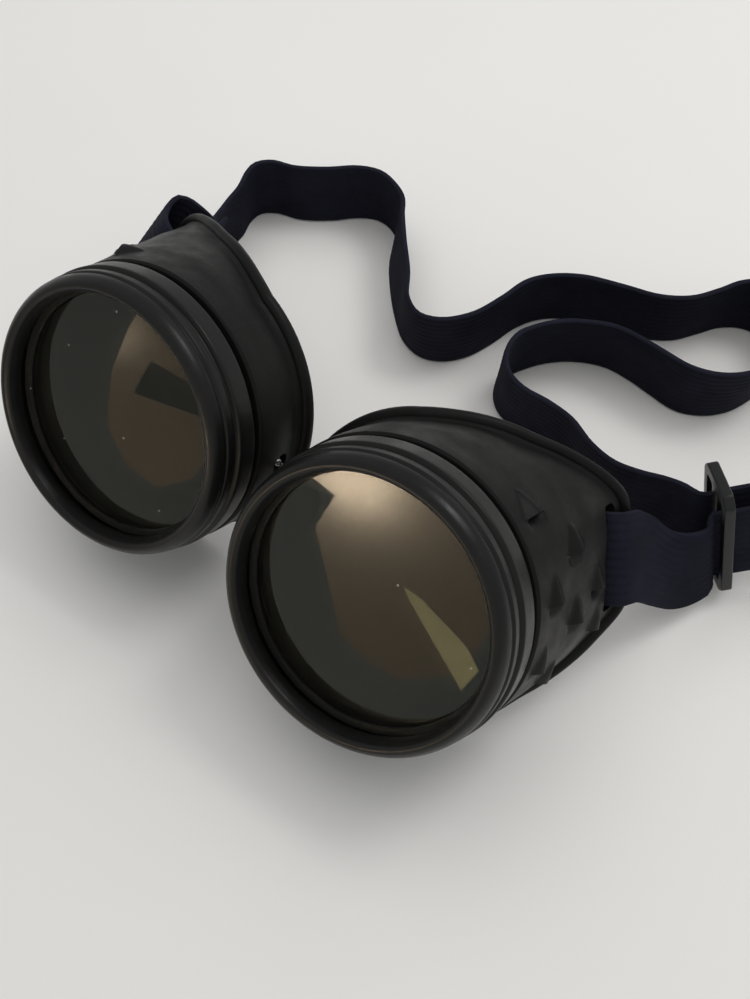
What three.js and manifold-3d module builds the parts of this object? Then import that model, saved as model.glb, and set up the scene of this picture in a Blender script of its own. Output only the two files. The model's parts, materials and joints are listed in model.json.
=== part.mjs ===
// Welding goggles: two vinyl eyecups with threaded retaining rings and lens packs, a nose chain,
// and one elastic head strap with a two-slot slider. Millimetres, +Z up, resting on the plane z = 0.
// Each cup has its own frame: x towards its strap slot, z outwards along the lens axis.
import * as THREE from 'three';
import { mergeVertices } from 'three/addons/utils/BufferGeometryUtils.js';
import Module from 'manifold-3d';

const wasm = await Module();
wasm.setup();

// ---- driving dimensions ----
const SEGMENTS = 40;            // facets round a cup or ring
const THREAD_SEGMENTS = 32;     // facets round one turn of thread
const LENS_SEGMENTS = 36;       // facets round a lens, spacer or gasket
const SMALL_SEGMENTS = 12;      // facets round the chain's pieces

// how the two cups lie
const CUP_SPACING = 61.9;       // between the two lens centres
const CUP_STAGGER = 2.03;       // each cup's shift along y
const CUP_ROLL = 25;            // degrees that each strap slot is turned up, about the lens axis
const LEAN = { left: 34.8, right: 30 };   // degrees that each lens axis points up

// eyecup
const SHOULDER_R = 28.3;
const SHOULDER_Z = -10.4;
const COLLAR_OUTER_R = 25.85;
const COLLAR_INNER_R = 25.1;
const COLLAR_FRONT_Z = -2;
const LEDGE_R = 23.2;
const LEDGE_Z = -7.5;
const WALL = 2;
const BEAD_R = 1.4;             // rolled edge of the face flange
// the rolled edge's section, from the flange's outer radius and depth
const BEAD_OUTLINE = [[-3.2, -0.6], [-1.6, -BEAD_R], [-0.5, -1.1], [0, 0], [-0.5, 1.2]];
const FLANGE_Z = -25;           // depth of the face flange on the nose side
const FLANGE_SWEEP = { slope: 0.3, curve: 0.01 };   // how it falls away towards the strap slot
const SIDE_END = { inset: 1.9, rise: 2.4 };         // from the flange's edge to the end of the side
const SIDE_BULGE = 0.3;         // of the cup's side, half way down
const INNER_DROP = 0.6;         // of the side's inner face below its outer one
const SHOULDER_EDGE = { inset: 0.4, drop: 0.3, slope: 0.2 };
// outer radius of the face flange by angle, in degrees from the strap slot
const FLANGE_RADII = [
  [-180, 29.9], [-150, 29.9], [-120, 33.3], [-71, 33.3], [-60, 32.1], [-46, 32.4], [-30, 33.1],
  [-19, 34.3], [0, 32.5], [19, 34.3], [27, 33.5], [38, 32], [51, 30.5], [80, 29.8], [180, 29.9],
];
const SLOT = { halfLength: 10.4, front: -38.2, rear: -42.4, inner: 24, outer: 40 };
// vents: angle round the cup and depth
const VENTS = [
  [36, -16.5], [5, -16.5], [-20, -15], [17.5, -25], [-7.5, -25], [-32, -23], [-1, -34], [-17, -35],
];
const VENT = {
  width: 4.8, length: 5.2, height: 1.7, edge: 0.8,
  root: -1, tail: -0.3, hole: 1.6, holeDepth: 8,
};
const CHAIN_HOLE = { r: 2.2, z: -18, length: 12, segments: 20 };

// thread between cup and ring
const PITCH = 3;
const THREAD_WIDTH = 0.9;
const CUP_THREAD = { root: 25.5, crest: 26.3, start: -9.2, turns: 2.05, phase: 180 };
const RING_THREAD = { root: 27, crest: 26.15, start: -6.2, turns: 1.1, phase: 0 };

// retaining ring: section from the bore's rear edge over a wide skirt, a rib and the rounded bead to the lip
const RING_BORE = 26.6;
const RING_LIP = 24;
const RING_OUTLINE = [
  [RING_BORE, -9], [27.7, -9], [28.1, -8.6], [28.1, -4.6], [27.1, -4.2], [27.1, -3.8], [27.6, -3.4],
  [27.6, -1.8], [27.1, -1.4], [27.35, -0.7], [27.1, 0.4], [26.3, 1.6], [25.3, 2], [24.5, 1.3],
  [RING_LIP, -0.2], [RING_LIP, -1.6], [RING_BORE, -1.6],
];

// lens pack, front to back
const LENS_R = 24.85;
const COVER_LENS = [-3.1, -1.9];
const SPACER = [-4, -3.4];
const FILTER_LENS = [-6.3, -4.3];
const GASKET = [-7.2, -6.6];
const PACK_RING_INNER_R = 23.4;

// head strap and slider
const STRAP_WIDTH = 18.5;
const STRAP_THICKNESS = 1.3;
const STRAP_STEPS = 2;          // steps between two stations of the route
const SLIDER = {
  depth: 14, width: 27.6, thickness: 2.3, corner: 2,
  slots: [3.9, 10.1], slotWidth: 3, slotLength: 22.2, strapEdge: 2.9,
  origin: [79.718, 59.862, 3.32], widthAxis: [-0.294, 0.094, 0.951], depthAxis: [-0.619, 0.74, -0.264],
};

// nose chain
const BALL_R = 1.2;
const CHAIN_WIRE_R = 0.45;
const CHAIN_BALLS = 6;
const CHAIN_WIRE = { steps: 12, segments: 3 };
const BALL_SEGMENTS = { round: 8, high: 6 };
// where the chain's line passes, from the cup's shoulder radius: its end, and inside and outside the hole
const CHAIN_STATIONS = { end: -6.4, inside: -1.5, outside: 0.6 };
const STOP = { inner: 0.8, outer: 2.9, thickness: 0.9 };

// ---- materials ----
const plastic = (color, roughness) => new THREE.MeshStandardMaterial({ color, roughness, metalness: 0 });
const vinyl = plastic(0x151515, 0.5);
const ringVinyl = plastic(0x121212, 0.42);
const filterGlass = plastic(0x2a2a26, 0.06);
const clearGlass = plastic(0xdfe6e2, 0.04);
const softRubber = plastic(0x202020, 0.8);
const elastic = plastic(0x161620, 0.9);
const sliderPlastic = plastic(0x1b1b1d, 0.4);
const chainMetal = new THREE.MeshStandardMaterial({ color: 0xb9bbbd, roughness: 0.25, metalness: 1 });

// ---- helpers ----
const radians = THREE.MathUtils.degToRad;

function solid(geometry) {
  const bare = geometry.clone();
  bare.deleteAttribute('normal');
  bare.deleteAttribute('uv');
  const merged = mergeVertices(bare, 1e-4);
  return new wasm.Manifold(new wasm.Mesh({
    numProp: 3,
    vertProperties: merged.attributes.position.array,
    triVerts: new Uint32Array(merged.index.array),
  }));
}

function geometryOf(manifold) {
  const mesh = manifold.getMesh();
  const geometry = new THREE.BufferGeometry();
  geometry.setAttribute('position', new THREE.BufferAttribute(mesh.vertProperties.slice(), 3));
  geometry.setIndex(new THREE.BufferAttribute(mesh.triVerts.slice(), 1));
  return geometry;
}

// Skin over rows of points: each row closes on itself, and the rows close on each other
// (a ring) or are capped at both ends (a bar).
function skin(rows, closed) {
  const size = rows[0].length;
  const points = rows.flat();
  const index = [];
  const last = closed ? rows.length : rows.length - 1;
  for (let i = 0; i < last; i++) {
    const here = i * size;
    const next = ((i + 1) % rows.length) * size;
    for (let k = 0; k < size; k++) {
      const j = (k + 1) % size;
      index.push(here + k, next + k, next + j, here + k, next + j, here + j);
    }
  }
  if (!closed) {
    const end = (rows.length - 1) * size;
    for (let k = 1; k < size - 1; k++) {
      index.push(0, k, k + 1);
      index.push(end, end + k + 1, end + k);
    }
  }
  const geometry = new THREE.BufferGeometry().setFromPoints(points);
  geometry.setIndex(index);
  return geometry;
}

function mirrorX(geometry) {
  const mirrored = geometry.clone().scale(-1, 1, 1);
  const index = mirrored.index.array;
  for (let i = 0; i < index.length; i += 3) {
    [index[i + 1], index[i + 2]] = [index[i + 2], index[i + 1]];
  }
  return mirrored;
}

const polar = (r, angle, z) => new THREE.Vector3(r * Math.cos(angle), r * Math.sin(angle), z);

// Lathe about z of a closed outline of [radius, z] points, listed anticlockwise.
function turned(outline, segments) {
  const rows = [];
  for (let i = 0; i < segments; i++) {
    const angle = (i / segments) * 2 * Math.PI;
    rows.push(outline.map(([r, z]) => polar(r, angle, z)));
  }
  return skin(rows, true);
}

function disc(radius, [z0, z1]) {
  const outline = [[0, z0], [radius, z0], [radius, z1], [0, z1]].map(([r, z]) => new THREE.Vector2(r, z));
  return new THREE.LatheGeometry(outline, LENS_SEGMENTS).rotateX(Math.PI / 2);
}

const washer = (inner, outer, [z0, z1], segments) => turned(
  [[inner, z0], [outer, z0], [outer, z1], [inner, z1]], segments);

// A right-hand ridge round the z axis, from its root radius to its crest.
function thread({ root, crest, start, turns, phase }) {
  const rows = [];
  const steps = Math.round(turns * THREAD_SEGMENTS);
  const half = THREAD_WIDTH / 2;
  for (let i = 0; i <= steps; i++) {
    const turn = i / THREAD_SEGMENTS;
    const angle = turn * 2 * Math.PI - radians(phase);
    const z = start + turn * PITCH;
    const row = [[root, z - half], [crest, z - half * 0.6], [crest, z + half * 0.6], [root, z + half]];
    rows.push(row.map(([r, height]) => polar(r, angle, height)));
  }
  if (crest < root) rows.forEach((row) => row.reverse());
  return skin(rows, false);
}

// ---- eyecup ----
function flangeRadius(degrees) {
  const i = FLANGE_RADII.findIndex(([angle]) => angle >= degrees);
  if (i < 1) return FLANGE_RADII[0][1];
  const [a0, r0] = FLANGE_RADII[i - 1];
  const [a1, r1] = FLANGE_RADII[i];
  return THREE.MathUtils.mapLinear(degrees, a0, a1, r0, r1);
}

function flangeDepth(x) {
  return x > 0 ? FLANGE_Z - FLANGE_SWEEP.slope * x - FLANGE_SWEEP.curve * x * x : FLANGE_Z;
}

// Radius and depth at which the cup's side runs into the rolled edge.
function sideEnd(degrees) {
  const r = flangeRadius(degrees);
  return [r - SIDE_END.inset, flangeDepth(r * Math.cos(radians(degrees))) + SIDE_END.rise];
}

// Section through the cup wall at one angle: collar, shoulder, side, rolled flange, and back inside.
function cupSection(degrees) {
  const flangeR = flangeRadius(degrees);
  const flangeZ = flangeDepth(flangeR * Math.cos(radians(degrees)));
  const [wallR, wallZ] = sideEnd(degrees);
  const middleR = (SHOULDER_R + wallR) / 2 + SIDE_BULGE;
  const middleZ = (SHOULDER_Z + wallZ) / 2;
  return [
    [COLLAR_INNER_R, COLLAR_FRONT_Z], [COLLAR_INNER_R, LEDGE_Z], [LEDGE_R, LEDGE_Z], [LEDGE_R, LEDGE_Z - WALL],
    [SHOULDER_R - WALL, SHOULDER_Z - WALL], [middleR - WALL, middleZ], [wallR - WALL, wallZ - INNER_DROP],
    ...BEAD_OUTLINE.map(([r, z]) => [flangeR + r, flangeZ + z]),
    [wallR, wallZ], [middleR, middleZ],
    [SHOULDER_R, SHOULDER_Z - SHOULDER_EDGE.drop], [SHOULDER_R - SHOULDER_EDGE.inset, SHOULDER_Z],
    [COLLAR_OUTER_R, SHOULDER_Z + SHOULDER_EDGE.slope], [COLLAR_OUTER_R, COLLAR_FRONT_Z],
  ];
}

function cupWall() {
  const rows = [];
  for (let i = 0; i < SEGMENTS; i++) {
    const degrees = (i / SEGMENTS) * 360 - 180;
    rows.push(cupSection(degrees).map(([r, z]) => polar(r, radians(degrees), z)));
  }
  return skin(rows, true);
}

// Outer radius of the cup's side at an angle and depth.
function sideRadius(degrees, z) {
  const [wallR, wallZ] = sideEnd(degrees);
  return THREE.MathUtils.mapLinear(z, SHOULDER_Z, wallZ, SHOULDER_R, wallR);
}

// A shape drawn lying on the cup's side: x round the cup, y out, z along the lens axis.
function onSide(geometry, degrees, z) {
  const out = polar(1, radians(degrees), 0);
  const round = polar(1, radians(degrees + 90), 0);
  const basis = new THREE.Matrix4().makeBasis(round.negate(), out, new THREE.Vector3(0, 0, 1));
  basis.setPosition(out.clone().multiplyScalar(sideRadius(degrees, z)).setZ(z));
  return geometry.clone().applyMatrix4(basis);
}

// Vent: a three-sided hood that is highest over its open edge.
function ventHood() {
  const { width, length, height, edge, root, tail } = VENT;
  const outline = new THREE.Shape();
  outline.moveTo(-width / 2, root);
  outline.lineTo(width / 2, root);
  outline.lineTo(width / 2, height);
  outline.lineTo(width / 2 - edge, height);
  outline.lineTo(-width / 2, tail);
  const slab = new THREE.ExtrudeGeometry(outline, { depth: length, bevelEnabled: false });
  return slab.translate(0, 0, -length / 2);
}

const ventHole = () => new THREE.BoxGeometry(VENT.hole, VENT.holeDepth, VENT.length * 0.6);

function eyecup(side) {
  let body = solid(cupWall());
  for (const [degrees, z] of VENTS) body = body.add(solid(onSide(ventHood(), degrees, z)));
  for (const [degrees, z] of VENTS) {
    const hole = ventHole().translate(VENT.width / 2 + VENT.hole / 2, 0, 0);
    body = body.subtract(solid(onSide(hole, degrees, z)));
  }
  const slot = new THREE.BoxGeometry(SLOT.outer - SLOT.inner, 2 * SLOT.halfLength, SLOT.front - SLOT.rear);
  slot.translate((SLOT.outer + SLOT.inner) / 2, 0, (SLOT.front + SLOT.rear) / 2);
  body = body.subtract(solid(slot));
  const hole = new THREE.CylinderGeometry(CHAIN_HOLE.r, CHAIN_HOLE.r, CHAIN_HOLE.length, CHAIN_HOLE.segments);
  hole.rotateZ(Math.PI / 2).translate(-SHOULDER_R, 0, CHAIN_HOLE.z).rotateZ(-radians(CUP_ROLL));
  body = body.subtract(solid(hole));
  let wall = geometryOf(body);
  if (side < 0) wall = mirrorX(wall);
  return geometryOf(solid(wall).add(solid(thread(CUP_THREAD))));
}

const retainingRing = () => geometryOf(solid(turned(RING_OUTLINE, SEGMENTS)).add(solid(thread(RING_THREAD))));

// ---- the model ----
const goggles = new THREE.Group();

function place(parent, name, geometry, material) {
  const mesh = new THREE.Mesh(geometry, material);
  mesh.name = name;
  parent.add(mesh);
  return mesh;
}

// The cup's tilted frame; what hangs in it is turned about the lens axis so the slot is up.
function cupFrame(side, lean) {
  const tilted = new THREE.Group();
  tilted.rotation.x = radians(90 - lean);
  const rolled = new THREE.Group();
  rolled.rotation.z = side * radians(CUP_ROLL);
  tilted.add(rolled);
  tilted.position.set(side * CUP_SPACING / 2, -side * CUP_STAGGER, 0);
  goggles.add(tilted);
  return { side, tilted, rolled };
}

// Sets a cup down so that its lowest point rests on z = 0.
function seat({ tilted }) {
  tilted.updateMatrixWorld(true);
  tilted.position.z -= new THREE.Box3().setFromObject(tilted, true).min.z;
  tilted.updateMatrixWorld(true);
}

const cups = {};
for (const [name, side] of [['left', 1], ['right', -1]]) {
  const cup = cupFrame(side, LEAN[name]);
  place(cup.rolled, `${name}_eyecup`, eyecup(side), vinyl);
  place(cup.rolled, `${name}_retaining_ring`, retainingRing(), ringVinyl);
  place(cup.rolled, `${name}_cover_lens`, disc(LENS_R, COVER_LENS), clearGlass);
  const spacer = washer(PACK_RING_INNER_R, LENS_R, SPACER, LENS_SEGMENTS);
  place(cup.rolled, `${name}_lens_spacer`, spacer, softRubber);
  place(cup.rolled, `${name}_filter_lens`, disc(LENS_R, FILTER_LENS), filterGlass);
  const gasket = washer(PACK_RING_INNER_R, LENS_R, GASKET, LENS_SEGMENTS);
  place(cup.rolled, `${name}_lens_gasket`, gasket, softRubber);
  seat(cup);
  cups[name] = cup;
}

// ---- head strap ----
// A station is the strap's lower edge and the offset to its upper edge.
const upperOffset = (x, y) => new THREE.Vector3(x, y, Math.sqrt(STRAP_WIDTH ** 2 - x * x - y * y));

// Stations given in a cup's own frame: the strap's width lies along the slot.
function cupStations(cup, list) {
  const acrossStrap = new THREE.Vector3(0, 1, 0).transformDirection(cup.rolled.matrixWorld);
  return list.map(([x, y, z]) => ({
    low: new THREE.Vector3(cup.side * x, y, z).applyMatrix4(cup.rolled.matrixWorld),
    up: acrossStrap.clone().multiplyScalar(STRAP_WIDTH),
  }));
}

const tableStations = (list) => list.map(([x, y, z, leanX, leanY]) => ({
  low: new THREE.Vector3(x, y, z),
  up: upperOffset(leanX, leanY),
}));

const sliderWidthAxis = new THREE.Vector3(...SLIDER.widthAxis).normalize();
const sliderNormal = new THREE.Vector3(...SLIDER.depthAxis).cross(sliderWidthAxis).normalize();
const sliderDepthAxis = sliderWidthAxis.clone().cross(sliderNormal);
const sliderFrame = new THREE.Matrix4().makeBasis(sliderDepthAxis, sliderWidthAxis, sliderNormal);
sliderFrame.setPosition(...SLIDER.origin);

// Stations through one of the slider's slots, which the strap crosses square to the plate.
function sliderStations(slot, through) {
  return through.map((distance) => ({
    low: new THREE.Vector3(slot, SLIDER.strapEdge, distance).applyMatrix4(sliderFrame),
    up: sliderWidthAxis.clone().multiplyScalar(STRAP_WIDTH),
  }));
}

// round the right cup's bar, from the sewn end to the loose loop behind the flange
const RIGHT_LUG = [
  [31, -9, -59], [29.8, -9.3, -55], [28, -9.5, -51], [26.5, -9.5, -46.5], [26.2, -9.5, -43],
  [27.6, -9.4, -40.9], [30.5, -9.4, -40.3], [33.6, -9.8, -41.4], [36.8, -11, -45], [38.8, -10.4, -48.2],
  [39, -9.4, -50.2], [37.4, -8.8, -51.8], [34.6, -8.8, -53.4], [33, -10.4, -56.6], [33.6, -13.4, -60.8],
  [36.4, -16.6, -66],
];
// lying on its edge in a loose S behind the cups, out to the right and back to the slider
const FLOOR_ROUTE = [
  [-72, 71.2, 2, 5, 3.4], [-71.6, 77, 0.3, 3.2, 1.2], [-71.4, 83, 0, 2.2, 0], [-73, 88.5, 0, 2, -0.2],
  [-72.6, 92.6, 0, 1.4, -0.8], [-69, 95.6, 0, 0.5, -0.8], [-62.7, 97.3, 0, 0, -0.8], [-56, 101.6, 0, 0.3, -0.8],
  [-50.1, 107, 0, 0.8, -1], [-45.1, 109.2, 0, 1.2, -1.4], [-40, 108.2, 0, 1.5, -1.8],
  [-36.4, 105.4, 0, 2.2, -1.6], [-33.8, 98.7, 0, 2.8, 0.6], [-28.1, 90.9, 0, 2.6, 1.4], [-21.3, 83.6, 0, 2.2, 1],
  [-15.8, 79.2, 0, 1.2, -1.4], [-10.3, 77.7, 0, 0.6, -2.6], [-5.5, 79.3, 0, 1, -2.6], [-1.2, 84, 0, 1.8, -1.6],
  [1.5, 90.9, 0, 2, -0.4], [3.6, 98.8, 0, 1.8, -0.8], [7.3, 104.9, 0, 1.6, -2.2], [14, 109.6, 0, 1.2, -2.6],
  [23, 112.6, 0, 1.2, -2.8], [31, 114.4, 0, 1.6, -2.4], [36.7, 117.8, 0, 2.2, -1.8], [40.9, 123.2, 0, 2.2, -1.4],
  [44.6, 128.4, 0, 1.6, -1.4], [50.2, 131.6, 0, 0.6, -1.2], [56.6, 130.6, 0, 0, -0.6], [61, 125.4, 0, 0.4, 0],
  [61.9, 119, 0, 1.4, -0.4], [60.2, 112, 0, 2.2, -1], [57.6, 106, 0, 2.4, -1.5], [53.2, 101.6, 0, 1.6, -1.9],
  [47.8, 99.4, 0, 0.4, -1.9], [41, 100.1, 0, 0.2, -2.2], [34.8, 101.1, 0, 0.3, -2.7], [28, 101.1, 0, 0.8, -3],
  [21.6, 98.6, 0, 1.5, -2.9], [16.2, 94.4, 0, 2, -2], [12, 88.6, 0, 2.4, -0.8], [9.8, 83.2, 0, 2.4, 0.2],
  [11.2, 78, 0, 1.6, -0.4], [15.2, 74.3, 0, 1, -1.4], [20.6, 73.2, 0, 0.5, -2.2], [27, 73.1, 0, 0.4, -2.2],
  [33.6, 72.1, 0, 0.3, -2.2], [40.2, 69, 0, 0.2, -2.2], [46.8, 67.4, 0, -0.2, -1.9], [53.6, 67.6, 0.2, -1.1, -1.2],
  [59.8, 67.6, 0.9, -2.6, 0], [65.6, 66.2, 2.4, -4.6, 1.5],
];
// how far along its travel the strap's two bands run straight, side by side
const SLIDER_TRAVEL = [-2.6, 1.6, 8, 14];
// the slack loop past the slider, out along one band and back along the other
const SLACK_ROUTE = [
  [87.4, 82.8, 4.6, -4.4, 1.4], [91.4, 89.4, 2, -2.4, 0.8], [95.6, 95, 0.3, -0.8, 0.2], [101, 97, 0, 0, 0],
  [105.4, 93.4, 0, 0, 0], [104.2, 87.4, 0.3, -0.8, 0.2], [98.6, 81.6, 2.4, -2.6, 0.8],
  [92.4, 76.6, 5.4, -4.4, 1.4],
];
// from the slider up to the left cup
const FRONT_ROUTE = [[76.2, 58.4, 4.4, -5.8, 2.4], [74.6, 53.4, 4.8, -6.3, 4], [72, 48.6, 7, -7, 6.2]];
// round the left cup's bar, ending sewn inside the front band
const LEFT_LUG = [
  [35.2, -13.4, -52.6], [34.5, -11.2, -48], [34.2, -9.9, -44.6], [33, -9.6, -41.5], [30.5, -9.5, -40.3],
  [27.9, -9.5, -40.9], [26.4, -9.5, -43.2], [26.8, -9.8, -46.5], [29.1, -10.7, -49], [31.4, -12, -50.8],
  [33.1, -13.4, -53.8],
];

// A flat band through stations: one four-cornered section at each step, square to its path.
function band(stations) {
  const lowEdge = new THREE.CatmullRomCurve3(stations.map(({ low }) => low));
  const highEdge = new THREE.CatmullRomCurve3(stations.map(({ low, up }) => low.clone().add(up)));
  const count = (stations.length - 1) * STRAP_STEPS;
  const middle = (t) => lowEdge.getPoint(t).add(highEdge.getPoint(t)).multiplyScalar(0.5);
  const rows = [];
  for (let i = 0; i <= count; i++) {
    const t = i / count;
    const low = lowEdge.getPoint(t);
    low.z = Math.max(low.z, 0);
    const high = highEdge.getPoint(t);
    const along = middle(Math.min(1, t + 0.001)).sub(middle(Math.max(0, t - 0.001)));
    const across = along.cross(high.clone().sub(low)).setLength(STRAP_THICKNESS / 2);
    rows.push([
      low.clone().sub(across), low.clone().add(across), high.clone().add(across), high.clone().sub(across),
    ]);
  }
  return skin(rows, false);
}

const [nearSlot, farSlot] = SLIDER.slots;
const strapRoute = [
  ...cupStations(cups.right, RIGHT_LUG),
  ...tableStations(FLOOR_ROUTE),
  ...sliderStations(farSlot, SLIDER_TRAVEL),
  ...tableStations(SLACK_ROUTE),
  ...sliderStations(nearSlot, SLIDER_TRAVEL.toReversed()),
  ...tableStations(FRONT_ROUTE),
  ...cupStations(cups.left, LEFT_LUG),
];
place(goggles, 'head_strap', band(strapRoute), elastic);

// ---- strap slider: a plate with cut corners and two slots ----
function sliderPlate() {
  const { depth, width, thickness, corner, slots, slotWidth, slotLength } = SLIDER;
  const outline = new THREE.Shape();
  outline.moveTo(corner, 0);
  outline.lineTo(depth - corner, 0);
  outline.lineTo(depth, corner);
  outline.lineTo(depth, width - corner);
  outline.lineTo(depth - corner, width);
  outline.lineTo(corner, width);
  outline.lineTo(0, width - corner);
  outline.lineTo(0, corner);
  const plate = new THREE.ExtrudeGeometry(outline, { depth: thickness, bevelEnabled: false });
  let body = solid(plate.translate(0, 0, -thickness / 2));
  for (const slot of slots) {
    const hole = new THREE.BoxGeometry(slotWidth, slotLength, 2 * thickness);
    body = body.subtract(solid(hole.translate(slot, width / 2, 0)));
  }
  return geometryOf(body);
}
place(goggles, 'strap_slider', sliderPlate().applyMatrix4(sliderFrame), sliderPlastic);

// ---- nose chain: through the hole in each cup's nose side ----
// A point on the line of a cup's chain hole, at a distance from the lens axis.
function holePoint(cup, distance) {
  const point = new THREE.Vector3(-cup.side * distance, 0, CHAIN_HOLE.z);
  return point.applyMatrix4(cup.tilted.matrixWorld);
}

const { end, inside, outside } = CHAIN_STATIONS;
const chainLine = new THREE.CatmullRomCurve3([
  ...[end, inside, outside].map((distance) => holePoint(cups.left, SHOULDER_R + distance)),
  ...[outside, inside, end].map((distance) => holePoint(cups.right, SHOULDER_R + distance)),
]);

function noseChain() {
  const wireSection = new THREE.Shape().absarc(0, 0, CHAIN_WIRE_R, 0, 2 * Math.PI);
  let chain = solid(new THREE.ExtrudeGeometry(wireSection, {
    steps: CHAIN_WIRE.steps, curveSegments: CHAIN_WIRE.segments, bevelEnabled: false, extrudePath: chainLine,
  }));
  for (let i = 0; i < CHAIN_BALLS; i++) {
    const centre = chainLine.getPointAt(i / (CHAIN_BALLS - 1));
    const ball = new THREE.SphereGeometry(BALL_R, BALL_SEGMENTS.round, BALL_SEGMENTS.high);
    chain = chain.add(solid(ball.translate(centre.x, centre.y, centre.z)));
  }
  return geometryOf(chain);
}

// A washer on the chain between its last two balls.
function chainStop(t) {
  const ring = washer(STOP.inner, STOP.outer, [-STOP.thickness / 2, STOP.thickness / 2], SMALL_SEGMENTS);
  const turn = new THREE.Quaternion().setFromUnitVectors(new THREE.Vector3(0, 0, 1), chainLine.getTangentAt(t));
  const centre = chainLine.getPointAt(t);
  return ring.applyQuaternion(turn).translate(centre.x, centre.y, centre.z);
}

const stopPlace = 0.5 / (CHAIN_BALLS - 1);
place(goggles, 'nose_chain', noseChain(), chainMetal);
place(goggles, 'left_chain_stop', chainStop(stopPlace), chainMetal);
place(goggles, 'right_chain_stop', chainStop(1 - stopPlace), chainMetal);

// ---- origin: on the resting plane, under the middle of the whole ----
goggles.updateMatrixWorld(true);
const bounds = new THREE.Box3().setFromObject(goggles, true);
const centre = bounds.getCenter(new THREE.Vector3());
goggles.position.set(-centre.x, -centre.y, -bounds.min.z);

export default goggles;
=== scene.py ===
import json
import math

import bmesh
import bpy
import numpy as np
from mathutils import Matrix, Vector


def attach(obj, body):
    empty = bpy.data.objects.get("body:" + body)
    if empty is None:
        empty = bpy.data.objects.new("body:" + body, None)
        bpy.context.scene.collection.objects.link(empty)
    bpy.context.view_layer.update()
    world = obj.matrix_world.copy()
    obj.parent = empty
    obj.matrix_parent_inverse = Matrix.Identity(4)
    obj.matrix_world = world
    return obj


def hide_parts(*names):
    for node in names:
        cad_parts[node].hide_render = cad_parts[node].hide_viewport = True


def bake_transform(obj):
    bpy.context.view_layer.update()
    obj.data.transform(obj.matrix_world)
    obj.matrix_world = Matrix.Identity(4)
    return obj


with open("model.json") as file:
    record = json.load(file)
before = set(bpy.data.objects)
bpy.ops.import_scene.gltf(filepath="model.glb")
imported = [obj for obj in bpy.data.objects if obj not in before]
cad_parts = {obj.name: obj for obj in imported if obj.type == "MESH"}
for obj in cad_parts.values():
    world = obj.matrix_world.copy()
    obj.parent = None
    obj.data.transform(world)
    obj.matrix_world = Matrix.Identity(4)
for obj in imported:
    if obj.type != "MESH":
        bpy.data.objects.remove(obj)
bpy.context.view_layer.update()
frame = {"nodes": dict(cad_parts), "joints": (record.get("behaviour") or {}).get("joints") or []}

MM = 0.001      # the model's sizes below are in millimetres

# ---- eyecup, in its own frame: x towards the strap slot, z outwards along the lens axis ----
CUP_ROLL = 25
CUP_ANGLES = 540                # columns of the mesh round a cup
SHOULDER_R = 28.3
SHOULDER_Z = -10.4
COLLAR_OUTER_R = 25.85
COLLAR_INNER_R = 25.1
COLLAR_FRONT_Z = -2
LEDGE_R = 23.2
LEDGE_Z = -7.5
WALL = 2
BEAD_R = 1.4
BEAD_TURNS = np.linspace(-100, 95, 15)      # degrees round the bead's section at each of its points
FLANGE_Z = -25
FLANGE_SWEEP = {"slope": 0.3, "curve": 0.01}            # how it falls away towards the strap slot
SIDE_END = {"inset": 0.5, "rise": 2.4, "drop": 0.6}     # where the side meets the bead, and inside
SIDE_BULGE = 0.3                # half way down the side
SIDE_ROWS = {"lower": 22, "upper": 24}      # rows of points below and above the bulge, for the vents
SHOULDER_EDGE = {"inset": 0.45, "drop": 0.35, "slope": 0.2}
# outer radius of the face flange by angle, in degrees from the strap slot
FLANGE_RADII = [
    (-180, 29.9), (-150, 29.9), (-120, 33.3), (-71, 33.3), (-60, 32.1), (-46, 32.4), (-30, 33.1),
    (-19, 34.3), (0, 32.5), (19, 34.3), (27, 33.5), (38, 32), (51, 30.5), (80, 29.8), (180, 29.9),
]
FLANGE_SOFTNESS = 3             # degrees to each side over which the flange's outline is averaged
SOFTNESS_SHARES = (-1, -0.5, 0, 0.5, 1)
SLOT = {"half_length": 10.4, "front": -38.2, "rear": -42.4, "inner": 24, "outer": 40, "corner": 1.4}
# vents: angle round the cup and depth
VENTS = [
    (36, -16.5), (5, -16.5), (-20, -15), (17.5, -25), (-7.5, -25), (-32, -23), (-1, -34), (-17, -35),
]
VENT = {
    "length": 5.8, "half_width": 3.2, "height": 1.55, "tent_power": 1.4, "narrowest": 0.2,
    "recess": 1.2, "recess_length": 2.2, "recess_share": 0.8,
}
# waves in the soft side: height, waves round the cup, radians per millimetre of depth, shift
WAVES = [(0.05, 3, 0.35, 0), (0.04, 7, -0.5, 1), (0.03, 0, 0.9, 0)]
SEAM = {"angle": 97, "width": 0.45, "height": 0.22}
CHAIN_HOLE = {"r": 2.2, "z": -18, "reach": 6, "sides": 32}
CORNER_SHARES = (0, 0.25, 0.5, 0.75, 1)     # the points that round off one corner of an outline
ON_WALL = 0.01                  # how near a point's radius is to a wall's to belong to it

PITCH = 3
THREAD_HALF = 0.45              # half the width of a thread's root
THREAD_FLANK = 0.4              # share of the half width over which a thread rises
CUP_THREAD = {"height": 0.45, "start": -9.2, "turns": 2.05, "phase": 180}
RING_THREAD = {"height": -0.45, "start": -6.2, "turns": 1.1, "phase": 0}

# ---- retaining ring ----
RING_ANGLES = 288               # columns of the mesh round a ring
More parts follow.
